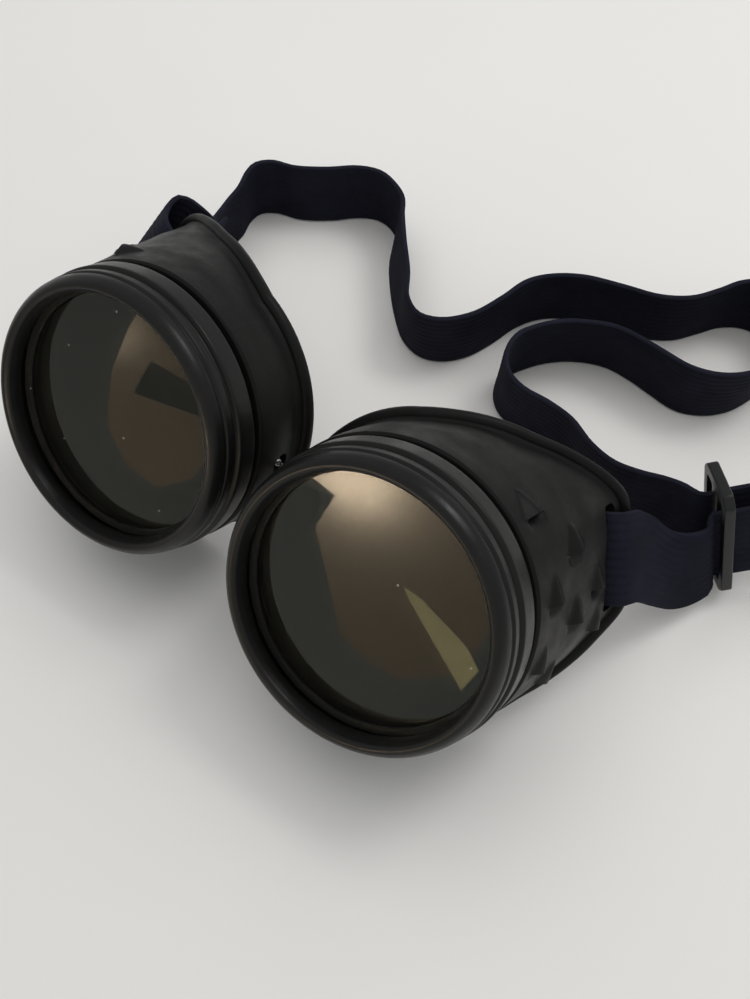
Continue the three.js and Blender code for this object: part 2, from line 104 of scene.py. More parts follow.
# its section's corners: radius, height, rounding and points on the straight that follows
RING_CORNERS = [
    (26.6, -9, 0.15, 1), (27.7, -9, 0.3, 0), (28.1, -8.6, 0.15, 3), (28.1, -4.6, 0.35, 1),
    (27.1, -4.2, 0.2, 0), (27.1, -3.8, 0.2, 1), (27.6, -3.4, 0.2, 3), (27.6, -1.8, 0.2, 1),
    (27.1, -1.4, 0.2, 0), (27.35, -0.7, 0.3, 1), (27.1, 0.4, 0.5, 1), (26.3, 1.6, 0.6, 1),
    (25.3, 2, 0.45, 0), (24.5, 1.3, 0.4, 1), (24, -0.2, 0.5, 1), (24, -1.6, 0.15, 3),
    (26.6, -1.6, 0.1, 16),
]

# ---- strap and slider, in the layout the cups were set out in ----
STRAP_WIDTH = 18.5
STRAP_THICKNESS = 1.3
STRAP_STEP = 1.6                # length of one row of the strap's mesh
STRAP_EDGE = 0.5                # width of a rounded selvedge
FACE_SAMPLES = 74               # points across one face of the strap
RIB_PITCH = 1.75
RIB_DEPTH = 0.13
THREAD_PITCH = 0.8              # of the cross threads along the strap
DIRECTION_STEP = 0.02           # stations to each side from which the strap's direction is taken
FINE_STEPS = 16                 # points between two stations for measuring its length
STITCH = {
    "count": 9, "share": 0.62, "radius": 0.2, "proud": 0.05, "sink": 0.3,
    "rows": 2, "spacing": 0.35, "steps": 7, "sides": 8,
}
SEWN_AT = {"right": 0.9, "left": 1.2}       # stations from the strap's two ends
SLIDER = {
    "depth": 14, "width": 27.6, "thickness": 2.3, "corner": 2, "softness": 0.6, "bevel": 0.4,
    "slots": (3.9, 10.1), "slot_width": 3, "slot_length": 22.2, "slot_corner": 0.5,
    "slot_softness": 0.2, "strap_edge": 2.9,
    "origin": (79.718, 59.862, 3.32),
    "width_axis": (-0.294, 0.094, 0.951), "depth_axis": (-0.619, 0.74, -0.264),
}
LAYOUT_SPACING = 61.9           # between the two lens centres
LAYOUT_STAGGER = 2.03           # each cup's shift along y
LAYOUT_LIFT = 0.115             # of the layout's floor above the resting plane

# ---- nose chain ----
BALL_R = 0.95
BALL_GAP = 2.35
WIRE_R = 0.4
STOP = {"inner": 0.8, "outer": 2.9, "thickness": 0.9, "share": 0.1}     # share of the chain past it
# distances along the line of a cup's chain hole, outwards from the cup's shoulder
CHAIN_STATIONS = {"end": -6.4, "inside": -1.5, "outside": 0.6}
CHAIN_STEP = 0.1                # distance to each side from which the chain's direction is taken
CHAIN_POINTS = 201

# ---- what the lenses mirror: upright cards in front of the goggles ----
CARD_Y = -130
CARD_SHIFT = -3.5
ROOM_GREY = (0.98, 1.0, 0.92)
BEIGE = (1.0, 0.78, 0.56)
LAMP_YELLOW = (1.0, 0.85, 0.45)
CORNER_GREY = (0.9, 0.9, 0.8)
FLOOR = {"half_size": 2500, "drop": 0.2}


# ---------------------------------------------------------------- helpers
def unit(vector):
    return np.array(vector) / np.linalg.norm(vector)


def link(obj):
    bpy.context.scene.collection.objects.link(obj)
    return obj


def mesh_object(name, points, faces, sharp=None):
    """A closed mesh with its faces turned out, smooth except at edges sharper than sharp degrees."""
    mesh = bpy.data.meshes.new(name)
    mesh.from_pydata([tuple(p) for p in points], [], faces)
    bm = bmesh.new()
    bm.from_mesh(mesh)
    bmesh.ops.recalc_face_normals(bm, faces=bm.faces)
    bm.to_mesh(mesh)
    bm.free()
    mesh.shade_smooth()
    if sharp:
        mesh.set_sharp_from_angle(angle=math.radians(sharp))
    return link(bpy.data.objects.new(name, mesh))


def grid_faces(rows, columns, closed_rows):
    """Quads over rows of points, each row closed on itself; open ends are capped."""
    faces = []
    for i in range(rows if closed_rows else rows - 1):
        here, after = i * columns, ((i + 1) % rows) * columns
        for k in range(columns):
            j = (k + 1) % columns
            faces.append((here + k, after + k, after + j, here + j))
    if not closed_rows:
        faces.append(tuple(range(columns)))
        faces.append(tuple((rows - 1) * columns + k for k in reversed(range(columns))))
    return faces


def rounded(corners):
    """Outline through corners (r, z, rounding, steps): each corner is rounded off over that length, and
    steps is the number of points on the straight that follows it. r and z may be arrays."""
    count = len(corners)
    out = []
    for i, (r, z, rounding, steps) in enumerate(corners):
        here = np.array([r, z])
        before = np.array(corners[i - 1][:2])
        after = np.array(corners[(i + 1) % count][:2])
        to_before = (before - here) / np.hypot(*(before - here))
        to_after = (after - here) / np.hypot(*(after - here))
        start, end = here + to_before * rounding, here + to_after * rounding
        for t in CORNER_SHARES:
            out.append(start * (1 - t) ** 2 + here * 2 * t * (1 - t) + end * t * t)
        next_rounding = corners[(i + 1) % count][2]
        finish = after - to_after * next_rounding
        for step in range(1, steps + 1):
            t = step / (steps + 1)
            out.append(end * (1 - t) + finish * t)
    return out


def ridge(offset, half):
    """1 on a thread's flat crest, falling to 0 at its root."""
    return np.clip((half - np.abs(offset)) / (THREAD_FLANK * half), 0, 1)


def thread_height(angle, z, start, turns, phase, height):
    """Height of a right-hand thread at arrays of angles (degrees) and depths."""
    total = np.zeros_like(z)
    share = ((angle + phase) % 360) / 360
    for k in range(math.ceil(turns) + 1):
        turn = share + k
        inside = (turn <= turns).astype(float)
        total = np.maximum(total, inside * ridge(z - start - turn * PITCH, THREAD_HALF))
    return total * height


# ---------------------------------------------------------------- where the cups are
class Cup:
    """A cup's frame: centre, lens axis, and the axes towards and along its strap slot."""

    def __init__(self, name, side):
        ring = next(j for j in frame["joints"] if j["name"] == f"{name}_ring_turn")
        self.name = name
        self.side = side
        self.centre = np.array(ring["pos_m"]) / MM
        self.z = np.array(ring["axis"])
        self.level = np.array([1.0, 0, 0])
        self.tilt = np.array([0, self.z[2], -self.z[1]])
        turn = math.radians(CUP_ROLL)
        self.x = side * math.cos(turn) * self.level + math.sin(turn) * self.tilt
        self.y = -side * math.sin(turn) * self.level + math.cos(turn) * self.tilt

    def points(self, x, y, z):
        """Model points, in metres, of points in the cup's frame."""
        across = np.multiply.outer(x, self.x) + np.multiply.outer(y, self.y)
        return (self.centre + (across + np.multiply.outer(z, self.z))) * MM

    def thread_angle(self, degrees):
        """Angle as the right-hand thread counts it; the right cup is mirrored and its thread is not."""
        return degrees if self.side > 0 else 180 - degrees


cups = {"left": Cup("left", 1), "right": Cup("right", -1)}
layout_origin = np.array([
    cups["left"].centre[0] - LAYOUT_SPACING / 2,
    cups["left"].centre[1] + LAYOUT_STAGGER,
    LAYOUT_LIFT,
])


# ---------------------------------------------------------------- materials
class Nodes:
    """Short ways to build one node material."""

    def __init__(self, name):
        self.material = bpy.data.materials.new(name)
        self.material.use_nodes = True
        self.tree = self.material.node_tree
        self.tree.nodes.clear()
        self.shader = self.node("ShaderNodeBsdfPrincipled")
        output = self.node("ShaderNodeOutputMaterial")
        self.tree.links.new(self.shader.outputs["BSDF"], output.inputs["Surface"])

    def node(self, kind, **values):
        made = self.tree.nodes.new(kind)
        for key, value in values.items():
            setattr(made, key, value)
        return made

    def feed(self, socket, value):
        if isinstance(value, bpy.types.NodeSocket):
            self.tree.links.new(value, socket)
        else:
            socket.default_value = value

    def set(self, **values):
        for key, value in values.items():
            self.feed(self.shader.inputs[key.replace("_", " ")], value)

    def coordinates(self, kind="Object"):
        return self.node("ShaderNodeTexCoord").outputs[kind]

    def noise(self, where, scale, detail=4.0, roughness=0.5):
        made = self.node("ShaderNodeTexNoise")
        self.feed(made.inputs["Vector"], where)
        made.inputs["Scale"].default_value = scale
        made.inputs["Detail"].default_value = detail
        made.inputs["Roughness"].default_value = roughness
        return made.outputs["Fac"]

    def cells(self, where, scale):
        made = self.node("ShaderNodeTexVoronoi")
        self.feed(made.inputs["Vector"], where)
        made.inputs["Scale"].default_value = scale
        return made

    def math(self, operation, first, second=0.0):
        made = self.node("ShaderNodeMath", operation=operation)
        self.feed(made.inputs[0], first)
        self.feed(made.inputs[1], second)
        return made.outputs[0]

    def between(self, value, low, high, out_low, out_high):
        """The value, taken from the range low to high to the range out_low to out_high."""
        made = self.node("ShaderNodeMapRange")
        keys = ("Value", "From Min", "From Max", "To Min", "To Max")
        for key, part in zip(keys, (value, low, high, out_low, out_high)):
            self.feed(made.inputs[key], part)
        return made.outputs[0]

    def mix(self, factor, first, second):
        made = self.node("ShaderNodeMix", data_type="RGBA")
        self.feed(made.inputs[0], factor)
        self.feed(made.inputs[6], first)
        self.feed(made.inputs[7], second)
        return made.outputs[2]

    def bump(self, height, distance, strength=1.0, normal=None):
        made = self.node("ShaderNodeBump")
        made.inputs["Strength"].default_value = strength
        made.inputs["Distance"].default_value = distance
        self.feed(made.inputs["Height"], height)
        if normal is not None:
            self.feed(made.inputs["Normal"], normal)
        return made.outputs[0]


def grey(value, warm=0.0):
    """A grey with this share more red and less blue."""
    return (value * (1 + warm), value, value * (1 - warm), 1)


def moulded(name, dark, light, roughness, grain, shine):
    """Black moulded vinyl or plastic: cloudy bloom, fine grain and slightly uneven gloss."""
    n = Nodes(name)
    where = n.coordinates()
    clouds = n.noise(where, 55, 5, 0.6)
    fine = n.noise(where, 2600, 3, 0.6)
    smears = n.noise(where, 260, 6, 0.65)
    n.set(
        Base_Color=n.mix(n.between(clouds, 0.35, 0.7, 0, 1), dark, light),
        Roughness=n.between(smears, 0.3, 0.75, roughness - 0.06, roughness + 0.12),
        Normal=n.bump(fine, grain * MM, 0.6, n.bump(smears, 0.05 * MM, 0.5)),
        Specular_IOR_Level=shine,
    )
    return n.material


def elastic():
    """Woven elastic: fine cross threads, staggered from rib to rib, between the ribs' furrows."""
    n = Nodes("elastic")
    uv = n.node("ShaderNodeSeparateXYZ")
    n.feed(uv.inputs[0], n.coordinates("UV"))
    along, across = uv.outputs[0], uv.outputs[1]
    rib = n.math("FLOOR", n.math("DIVIDE", across, RIB_PITCH / 2))
    stagger = n.math("MULTIPLY", rib, 1.9)
    turns = n.math("MULTIPLY", along, 2 * math.pi / THREAD_PITCH)
    threads = n.math("SINE", n.math("ADD", turns, stagger))
    stitches = n.math("ABSOLUTE", n.math("SINE", n.math("MULTIPLY", across, 2 * math.pi / RIB_PITCH)))
    weave = n.math("ADD", n.math("MULTIPLY", threads, 0.25), stitches)
    fuzz = n.noise(n.coordinates(), 1800, 3, 0.7)
    wear = n.between(n.noise(n.coordinates(), 90, 4, 0.6), 0.35, 0.7, 0, 1)
    n.set(
        Base_Color=n.mix(wear, (0.009, 0.0093, 0.016, 1), (0.0145, 0.015, 0.0255, 1)),
        Roughness=0.85,
        Normal=n.bump(n.math("ADD", weave, n.math("MULTIPLY", fuzz, 0.9)), 0.05 * MM, 0.5),
        Specular_IOR_Level=0.1,
    )
    return n.material


def cover_glass():
    """Clear glass with a few specks of dust. Its refraction is kept low, so that the filter lens
    behind it is what mirrors the room."""
    n = Nodes("cover_glass")
    where = n.coordinates()
    dust = n.cells(where, 190)
    speck = n.math("LESS_THAN", dust.outputs["Distance"], 0.035)
    chosen = n.math("GREATER_THAN", n.noise(where, 70, 1), 0.56)
    mask = n.math("MULTIPLY", n.math("MULTIPLY", speck, chosen), 0.5)
    n.set(
        Base_Color=n.mix(mask, (0.96, 0.97, 0.95, 1), (0.6, 0.58, 0.54, 1)),
        Roughness=0.0,
        Transmission_Weight=n.math("SUBTRACT", 1.0, mask),
        IOR=1.06,
    )
    return n.material


def filter_glass():
    """Dark grey-green filter glass."""
    n = Nodes("filter_glass")
    where = n.coordinates()
    n.set(
        Base_Color=n.mix(n.noise(where, 40, 3), (0.006, 0.006, 0.005, 1), (0.008, 0.008, 0.0065, 1)),
        Roughness=0.0,
        IOR=1.5,
        Specular_IOR_Level=0.5,
    )
    return n.material


def nickel():
    """Nickel plating with a slightly uneven polish."""
    n = Nodes("chain_metal")
    where = n.coordinates()
    n.set(
        Base_Color=n.mix(n.noise(where, 900, 3), (0.62, 0.61, 0.58, 1), (0.42, 0.41, 0.39, 1)),
        Roughness=n.between(n.noise(where, 2400, 3), 0.3, 0.7, 0.16, 0.34),
        Metallic=1.0,
    )
    return n.material


def thread_yarn():
    """Black sewing yarn."""
    n = Nodes("stitching")
    where = n.coordinates()
    n.set(
        Base_Color=n.mix(n.noise(where, 1500, 3), (0.010, 0.010, 0.014, 1), (0.03, 0.03, 0.036, 1)),
        Roughness=0.7,
        Normal=n.bump(n.noise(where, 3000, 2), 0.05 * MM),
    )
    return n.material


MATERIALS = {
    "cup_vinyl": moulded("cup_vinyl", grey(0.0045, 0.03), grey(0.007, 0.03), 0.43, 0.035, 0.16),
    "ring_vinyl": moulded("ring_vinyl", grey(0.0042, 0.03), grey(0.0065, 0.03), 0.33, 0.02, 0.3),
    "soft_rubber": moulded("soft_rubber", grey(0.012), grey(0.02), 0.75, 0.05, 0.45),
    "slider_plastic": moulded(
        "slider_plastic", grey(0.006, -0.04), grey(0.009, -0.04), 0.34, 0.02, 0.38),
    "cover_glass": cover_glass(),
    "filter_glass": filter_glass(),
    "elastic": elastic(),
    "chain_metal": nickel(),
}
YARN = thread_yarn()


def finish_piece(obj, slot, material=None):
    """Gives a piece the slot's material, or a material of its own."""
    obj.data.materials.clear()
    obj.data.materials.append(material or MATERIALS[slot])


def dress_node(node, slot):
    """A carried-over CAD node keeps its mesh and gets the slot's material."""
    for material_slot in frame["nodes"][node].material_slots:
        material_slot.material = MATERIALS[slot]


# ---------------------------------------------------------------- eyecups
def flange_radius(degrees):
    """Outline of the face flange, with the corners between its stations rounded off."""
    angles, radii = zip(*FLANGE_RADII)
    total = 0
    for share in SOFTNESS_SHARES:
        turned = (degrees + share * FLANGE_SOFTNESS + 180) % 360 - 180
        total = total + np.interp(turned, angles, radii)
    return total / len(SOFTNESS_SHARES)


def flange_depth(x):
    return FLANGE_Z - np.where(x > 0, FLANGE_SWEEP["slope"] * x + FLANGE_SWEEP["curve"] * x * x, 0)


def cup_section(degrees):
    """Rows of points round the cup wall, from the collar down the inside, over the bead and up the
    side, and the numbers of the side's first row and of the first row past it."""
    flange_r = flange_radius(degrees)
    flange_z = flange_depth(flange_r * np.cos(np.radians(degrees)))
    wall_r = flange_r - BEAD_R - SIDE_END["inset"]
    wall_z = flange_z + SIDE_END["rise"]
    middle_r = (SHOULDER_R + wall_r) / 2 + SIDE_BULGE
    middle_z = (SHOULDER_Z + wall_z) / 2
    same = np.ones_like(flange_r)
    bead = []
    for turn in BEAD_TURNS:
        out, up = math.cos(math.radians(turn)), math.sin(math.radians(turn))
        bead.append((flange_r - BEAD_R + BEAD_R * out, flange_z + BEAD_R * up))
    corners = [
        (COLLAR_INNER_R * same, COLLAR_FRONT_Z * same, 0.2, 3),
        (COLLAR_INNER_R * same, LEDGE_Z * same, 0.15, 1),
        (LEDGE_R * same, LEDGE_Z * same, 0.3, 1),
        (LEDGE_R * same, (LEDGE_Z - WALL) * same, 0.4, 2),
        ((SHOULDER_R - WALL) * same, (SHOULDER_Z - WALL) * same, 1.2, 3),
        (middle_r - WALL, middle_z, 0.8, 4),
        (wall_r - WALL, wall_z - SIDE_END["drop"], 0.5, 1),
    ]
    under_bead = (bead[0][0] - 0.6, bead[0][1], 0.2, 1)
    inside = rounded(corners + [under_bead])[:-len(CORNER_SHARES) - 1]
    side_corners = [
        (bead[-1][0], bead[-1][1], 0.1, 0),
        (wall_r, wall_z, 0.35, SIDE_ROWS["lower"]),
        (middle_r, middle_z, 1.5, SIDE_ROWS["upper"]),
        (SHOULDER_R * same, (SHOULDER_Z - SHOULDER_EDGE["drop"]) * same, 0.12, 1),
        ((SHOULDER_R - SHOULDER_EDGE["inset"]) * same, SHOULDER_Z * same, 0.12, 3),
        (COLLAR_OUTER_R * same, (SHOULDER_Z + SHOULDER_EDGE["slope"]) * same, 0.25, 26),
        (COLLAR_OUTER_R * same, COLLAR_FRONT_Z * same, 0.2, 0),
    ]
    collar_corner = (COLLAR_INNER_R * same, COLLAR_FRONT_Z * same, 0.2, 0)
    per_corner = len(CORNER_SHARES)
    outside = rounded(side_corners + [collar_corner])[per_corner:-per_corner]
    rows = inside + [np.array(p) for p in bead] + outside
    first = len(inside) + len(bead) + per_corner
    half_corner = per_corner // 2 + 1
    last = first + SIDE_ROWS["lower"] + per_corner + SIDE_ROWS["upper"] + half_corner
    return np.array(rows), first, last


def vent_height(degrees, r, z):
    """A tent over each vent, rising to its open end, and the recess that it opens into."""
    total = np.zeros_like(r)
    half = VENT["length"] / 2
    for angle, depth in VENTS:
        along = np.radians(angle - degrees) * r
        aside = np.abs(z - depth)
        share = np.clip((along + half) / (2 * half), 0, 1)
        half_width = np.maximum(VENT["half_width"] * share, VENT["narrowest"])
        tent = np.clip(1 - (aside / half_width) ** VENT["tent_power"], 0, 1)
        tent = np.where(along <= half, tent * share * VENT["height"], 0)
        past = (along - half) / VENT["recess_length"]
        fade = np.where((past > 0) & (past < 1), 1 - past, 0)
        hollow = np.clip(1 - (aside / (VENT["half_width"] * VENT["recess_share"])) ** 2, 0, 1) ** 0.5
        total = total + tent - VENT["recess"] * fade * hollow
    return total


def unevenness(degrees, z):
    """The slight waviness of soft moulded vinyl."""
    turn = np.radians(degrees)
    total = 0
    for height, waves, per_depth, shift in WAVES:
        total = total + height * np.sin(waves * turn + per_depth * z + shift)
    return total


def cutters(cup):
    """One mesh with the strap slot and the chain hole as closed bars."""
    corner, half = SLOT["corner"], SLOT["half_length"]
    front, rear = SLOT["front"], SLOT["rear"]
    outline = []
    for y, z, start in ((half, front, 0), (-half, front, 90), (-half, rear, 180), (half, rear, 270)):
        centre_y = y - math.copysign(corner, y)
        centre_z = z - corner if z == front else z + corner
        for turn in range(start, start + 91, 15):
            angle = math.radians(turn)
            outline.append((centre_y + corner * math.cos(angle), centre_z + corner * math.sin(angle)))
    points = []
    for x in (SLOT["inner"], SLOT["outer"]):
        points += [cup.points(x, y, z) for y, z in outline]
    faces = grid_faces(2, len(outline), False)
    base = len(points)
    sides = CHAIN_HOLE["sides"]
    out_angle = math.radians(180 - CUP_ROLL)
    for distance in (SHOULDER_R - CHAIN_HOLE["reach"], SHOULDER_R + CHAIN_HOLE["reach"]):
        for i in range(sides):
            turn = 2 * math.pi * i / sides
            across = CHAIN_HOLE["r"] * math.cos(turn)
            x = distance * math.cos(out_angle) - across * math.sin(out_angle)
            y = distance * math.sin(out_angle) + across * math.cos(out_angle)
            points.append(cup.points(x, y, CHAIN_HOLE["z"] + CHAIN_HOLE["r"] * math.sin(turn)))
    faces += [tuple(base + k for k in face) for face in grid_faces(2, sides, False)]
    return mesh_object(f"{cup.name}_cutters", points, faces)


def cut(obj, cutter, sharp):
    """Takes the cutter out of the object's mesh for good."""
    modifier = obj.modifiers.new("cut", "BOOLEAN")
    modifier.operation = "DIFFERENCE"
    modifier.solver = "MANIFOLD"
    modifier.object = cutter
    bpy.context.view_layer.update()
    evaluated = obj.evaluated_get(bpy.context.evaluated_depsgraph_get())
    mesh = bpy.data.meshes.new_from_object(evaluated)
    obj.modifiers.clear()
    obj.data = mesh
    mesh.shade_smooth()
    mesh.set_sharp_from_angle(angle=math.radians(sharp))
    bpy.data.objects.remove(cutter)


def eyecup(cup):
    """Cup shell with its vents, seam, thread, strap slot and chain hole."""
    degrees = np.arange(CUP_ANGLES) * 360 / CUP_ANGLES - 180
    rows, first, last = cup_section(degrees)
    r, z = rows[:, 0, :], rows[:, 1, :]
    angle = np.broadcast_to(degrees, r.shape)
    side = slice(first, last)
    seam = SEAM["height"] * np.clip(1 - np.abs(angle[side] - SEAM["angle"]) / SEAM["width"], 0, 1)
    r[side] += vent_height(angle[side], r[side], z[side]) + unevenness(angle[side], z[side]) + seam
    collar = np.arange(r.shape[0])[:, None] >= last
    threads = thread_height(cup.thread_angle(angle), z, **CUP_THREAD)
    r += np.where(collar & (np.abs(r - COLLAR_OUTER_R) < ON_WALL), threads, 0)
    turn = np.radians(angle)
    points = cup.points(r * np.cos(turn), r * np.sin(turn), z).transpose(1, 0, 2).reshape(-1, 3)
    shell = mesh_object(f"{cup.name}_cup_shell", points, grid_faces(CUP_ANGLES, r.shape[0], True))
    cut(shell, cutters(cup), sharp=40)
    finish_piece(shell, "cup_vinyl")
    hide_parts(f"{cup.name}_eyecup")
    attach(shell, f"{cup.name}_cup")


# ---------------------------------------------------------------- retaining rings
def retaining_ring(cup):
    """Turned ring with the thread in its bore."""
    degrees = np.arange(RING_ANGLES) * 360 / RING_ANGLES
    same = np.ones_like(degrees)
    corners = [(r * same, z * same, rounding, steps) for r, z, rounding, steps in RING_CORNERS]
    rows = np.array(rounded(corners))
    r, z = rows[:, 0, :], rows[:, 1, :]
    angle = np.broadcast_to(degrees, r.shape)
    bore = np.abs(r - RING_CORNERS[0][0]) < ON_WALL
    r += np.where(bore, thread_height(cup.thread_angle(angle), z, **RING_THREAD), 0)
    turn = np.radians(angle)
    points = cup.points(r * np.cos(turn), r * np.sin(turn), z).transpose(1, 0, 2).reshape(-1, 3)
    ring = mesh_object(f"{cup.name}_ring", points, grid_faces(RING_ANGLES, r.shape[0], True), sharp=50)
    finish_piece(ring, "ring_vinyl")
    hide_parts(f"{cup.name}_retaining_ring")
    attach(ring, f"{cup.name}_ring")


# ---------------------------------------------------------------- head strap
# Stations along the strap's lower edge: (x, y, z) in a cup's frame, or on the table (x, y, z) and how
# far the upper edge leans from the lower one along x and y.
# round the right cup's bar, from the sewn end to the loose loop behind the flange
RIGHT_LUG = [
    (31, -9, -59), (29.8, -9.3, -55), (28, -9.5, -51), (26.5, -9.5, -46.5), (26.2, -9.5, -43),
    (27.6, -9.4, -40.9), (30.5, -9.4, -40.3), (33.6, -9.8, -41.4), (36.8, -11, -45),
    (38.8, -10.4, -48.2), (39, -9.4, -50.2), (37.4, -8.8, -51.8), (34.6, -8.8, -53.4),
    (33, -10.4, -56.6), (33.6, -13.4, -60.8), (36.4, -16.6, -66),
]
# lying on its edge in a loose S behind the cups, out to the right and back to the slider
FLOOR_ROUTE = [
    (-72, 71.2, 2, 5, 3.4), (-71.6, 77, 0.3, 3.2, 1.2), (-71.4, 83, 0, 2.2, 0),
    (-73, 88.5, 0, 2, -0.2), (-72.6, 92.6, 0, 1.4, -0.8), (-69, 95.6, 0, 0.5, -0.8),
    (-62.7, 97.3, 0, 0, -0.8), (-56, 101.6, 0, 0.3, -0.8), (-50.1, 107, 0, 0.8, -1),
    (-45.1, 109.2, 0, 1.2, -1.4), (-40, 108.2, 0, 1.5, -1.8), (-36.4, 105.4, 0, 2.2, -1.6),
    (-33.8, 98.7, 0, 2.8, 0.6), (-28.1, 90.9, 0, 2.6, 1.4), (-21.3, 83.6, 0, 2.2, 1),
    (-15.8, 79.2, 0, 1.2, -1.4), (-10.3, 77.7, 0, 0.6, -2.6), (-5.5, 79.3, 0, 1, -2.6),
    (-1.2, 84, 0, 1.8, -1.6), (1.5, 90.9, 0, 2, -0.4), (3.6, 98.8, 0, 1.8, -0.8),
    (7.3, 104.9, 0, 1.6, -2.2), (14, 109.6, 0, 1.2, -2.6), (23, 112.6, 0, 1.2, -2.8),
    (31, 114.4, 0, 1.6, -2.4), (36.7, 117.8, 0, 2.2, -1.8), (40.9, 123.2, 0, 2.2, -1.4),
    (44.6, 128.4, 0, 1.6, -1.4), (50.2, 131.6, 0, 0.6, -1.2), (56.6, 130.6, 0, 0, -0.6),
    (61, 125.4, 0, 0.4, 0), (61.9, 119, 0, 1.4, -0.4), (60.2, 112, 0, 2.2, -1),
    (57.6, 106, 0, 2.4, -1.5), (53.2, 101.6, 0, 1.6, -1.9), (47.8, 99.4, 0, 0.4, -1.9),
    (41, 100.1, 0, 0.2, -2.2), (34.8, 101.1, 0, 0.3, -2.7), (28, 101.1, 0, 0.8, -3),
    (21.6, 98.6, 0, 1.5, -2.9), (16.2, 94.4, 0, 2, -2), (12, 88.6, 0, 2.4, -0.8),
    (9.8, 83.2, 0, 2.4, 0.2), (11.2, 78, 0, 1.6, -0.4), (15.2, 74.3, 0, 1, -1.4),
    (20.6, 73.2, 0, 0.5, -2.2), (27, 73.1, 0, 0.4, -2.2), (33.6, 72.1, 0, 0.3, -2.2),
    (40.2, 69, 0, 0.2, -2.2), (46.8, 67.4, 0, -0.2, -1.9), (53.6, 67.6, 0.2, -1.1, -1.2),
    (59.8, 67.6, 0.9, -2.6, 0), (65.6, 66.2, 2.4, -4.6, 1.5),
]
# distances from the slider's plate at which a band runs straight through its slot
SLIDER_TRAVEL = [-2.6, 1.6, 8, 14]
# the slack loop past the slider, out along one band and back along the other
SLACK_ROUTE = [
    (87.4, 82.8, 4.6, -4.4, 1.4), (91.4, 89.4, 2, -2.4, 0.8), (95.6, 95, 0.3, -0.8, 0.2),
    (101, 97, 0, 0, 0), (105.4, 93.4, 0, 0, 0), (104.2, 87.4, 0.3, -0.8, 0.2),
    (98.6, 81.6, 2.4, -2.6, 0.8), (92.4, 76.6, 5.4, -4.4, 1.4),
]
# from the slider up to the left cup
FRONT_ROUTE = [(76.2, 58.4, 4.4, -5.8, 2.4), (74.6, 53.4, 4.8, -6.3, 4), (72, 48.6, 7, -7, 6.2)]
# round the left cup's bar, ending sewn inside the front band
LEFT_LUG = [
    (35.2, -13.4, -52.6), (34.5, -11.2, -48), (34.2, -9.9, -44.6), (33, -9.6, -41.5),
    (30.5, -9.5, -40.3), (27.9, -9.5, -40.9), (26.4, -9.5, -43.2), (26.8, -9.8, -46.5),
    (29.1, -10.7, -49), (31.4, -12, -50.8), (33.1, -13.4, -53.8),
]


def slider_axes():
    """The plate's origin and its axes: along its depth, its width and square to its face."""
    width = unit(SLIDER["width_axis"])
    normal = unit(np.cross(SLIDER["depth_axis"], width))
    return np.array(SLIDER["origin"]), np.cross(width, normal), width, normal


def cup_stations(cup, stations):
    low = [cup.points(x, y, z) / MM for x, y, z in stations]
    return [(edge, edge + cup.y * STRAP_WIDTH) for edge in low]


def table_stations(stations):
    out = []
    for x, y, z, lean_x, lean_y in stations:
        low = layout_origin + np.array([x, y, z])
        rise = math.sqrt(STRAP_WIDTH ** 2 - lean_x ** 2 - lean_y ** 2)
        out.append((low, low + np.array([lean_x, lean_y, rise])))
    return out


def slider_stations(slot, travel):
    origin, depth, width, normal = slider_axes()
    start = layout_origin + origin + slot * depth + SLIDER["strap_edge"] * width
    low = [start + distance * normal for distance in travel]
    return [(edge, edge + width * STRAP_WIDTH) for edge in low]


def smooth_curve(stations, t):
    """Centripetal Catmull-Rom curve through the stations, at station number t."""
    i = min(int(t), len(stations) - 2)
    w = t - i
    p1, p2 = stations[i], stations[i + 1]
    p0 = stations[i - 1] if i > 0 else 2 * p1 - p2
    p3 = stations[i + 2] if i + 2 < len(stations) else 2 * p2 - p1
    d0, d1, d2 = (math.sqrt(np.linalg.norm(b - a)) for a, b in ((p0, p1), (p1, p2), (p2, p3)))
    leave = ((p1 - p0) / d0 - (p2 - p0) / (d0 + d1) + (p2 - p1) / d1) * d1
    arrive = ((p2 - p1) / d1 - (p3 - p1) / (d1 + d2) + (p3 - p2) / d2) * d1
    bend = -3 * p1 + 3 * p2 - 2 * leave - arrive
    twist = 2 * p1 - 2 * p2 + leave + arrive
    return p1 + leave * w + bend * w * w + twist * w ** 3


class StrapPath:
    """The strap's two edges, as curves over its stations."""

    def __init__(self, stations):
        self.low, self.high = ([np.array(p) for p in edge] for edge in zip(*stations))
        self.last = len(stations) - 1

    def edges(self, t):
        low = smooth_curve(self.low, t)
        low[2] = max(low[2], LAYOUT_LIFT)
        return low, smooth_curve(self.high, t)

    def frame(self, t):
        """Lower edge, vector to the upper edge, and the strap's normal at station number t."""
        low, high = self.edges(t)
        ahead = sum(self.edges(min(self.last, t + DIRECTION_STEP)))
        behind = sum(self.edges(max(0, t - DIRECTION_STEP)))
        return low, high - low, unit(np.cross(ahead - behind, high - low))

    def even_steps(self, step):
        """Station numbers at even distances along the strap's middle, and the distances."""
        fine = np.linspace(0, self.last, self.last * FINE_STEPS + 1)
        middle = np.array([sum(self.edges(t)) / 2 for t in fine])
        lengths = np.concatenate([[0], np.cumsum(np.linalg.norm(np.diff(middle, axis=0), axis=1))])
        distances = np.linspace(0, lengths[-1], round(lengths[-1] / step) + 1)
        return np.interp(distances, lengths, fine), distances


